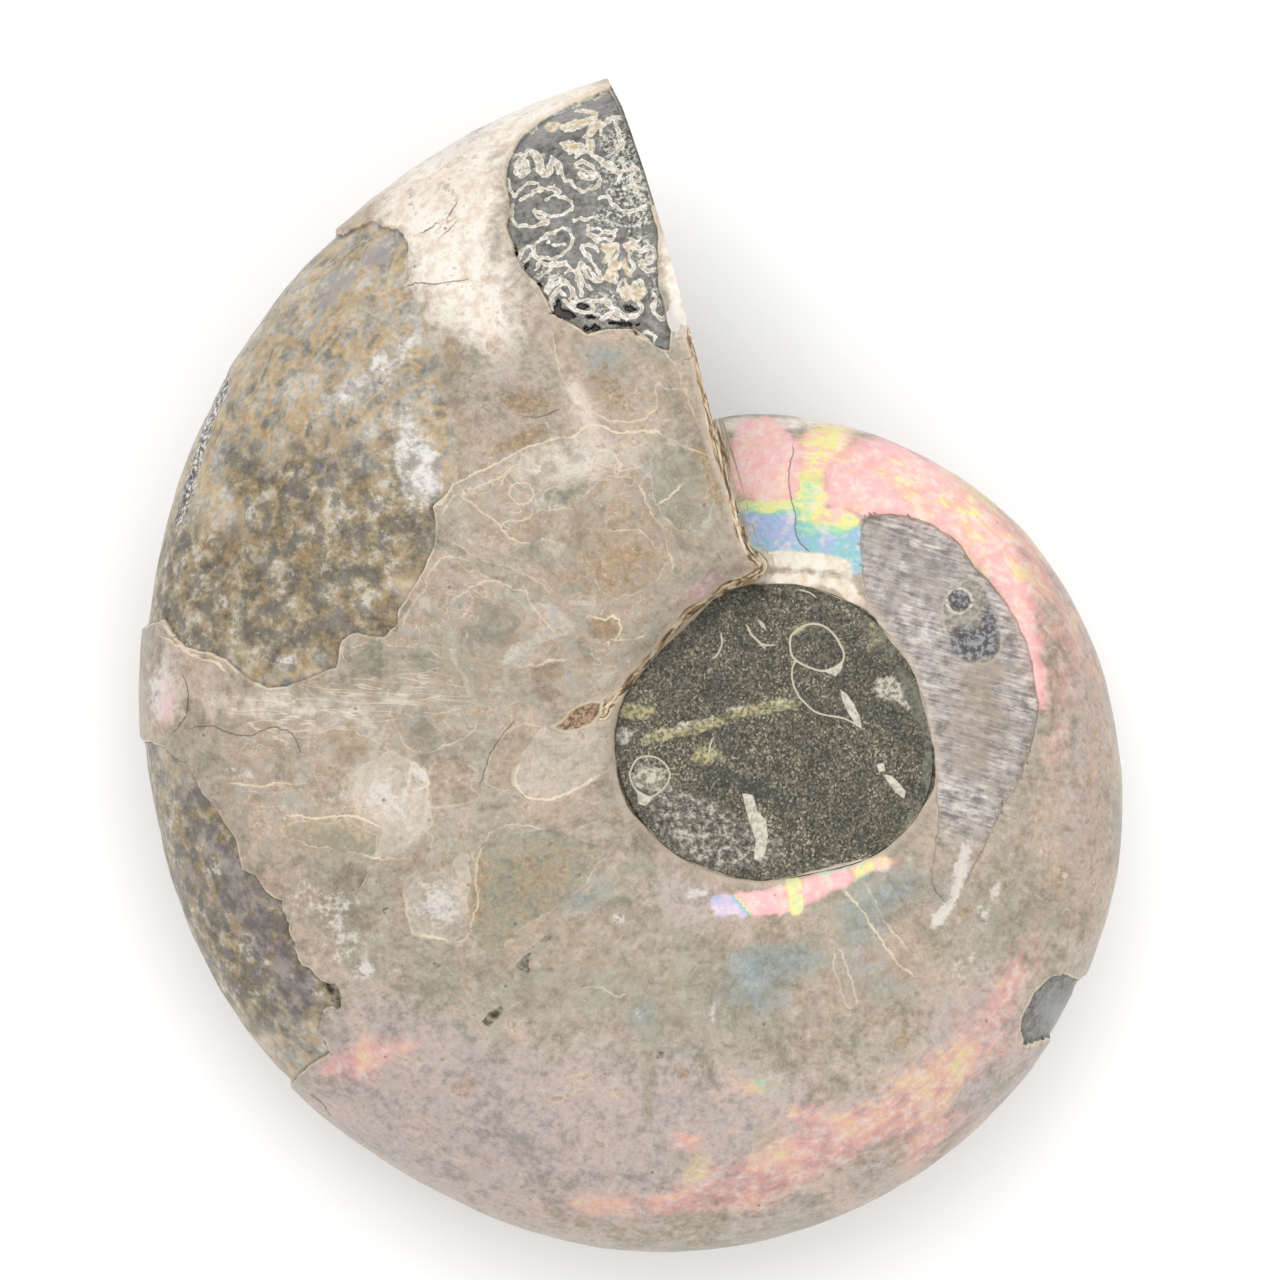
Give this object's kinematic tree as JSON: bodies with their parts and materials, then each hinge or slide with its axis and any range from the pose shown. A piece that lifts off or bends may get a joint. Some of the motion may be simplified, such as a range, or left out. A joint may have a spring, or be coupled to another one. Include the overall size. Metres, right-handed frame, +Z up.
{
  "type": "polished ammonite fossil",
  "caption": "Polished coiled ammonite fossil with flaked nacre over sutured stone, a flat sawn mouth and a sandstone-filled umbilicus, lying on its flank.",
  "frame": {"origin": "centre of the bounding box, on the surface that the fossil lies on", "axes": "+Z up out of the shown flank, +Y towards the tip of the last whorl and along the longest side, +X away from the last whorl's outer edge"},
  "size_m": [0.0884, 0.1052, 0.0371],
  "materials": {
    "shell": "polished nacre over stone",
    "matrix": "ground speckled sandstone"
  },
  "bodies": {
    "root": {"ammonite": "shell", "front_matrix_plug": "matrix", "back_matrix_plug": "matrix"}
  },
  "joints": []
}
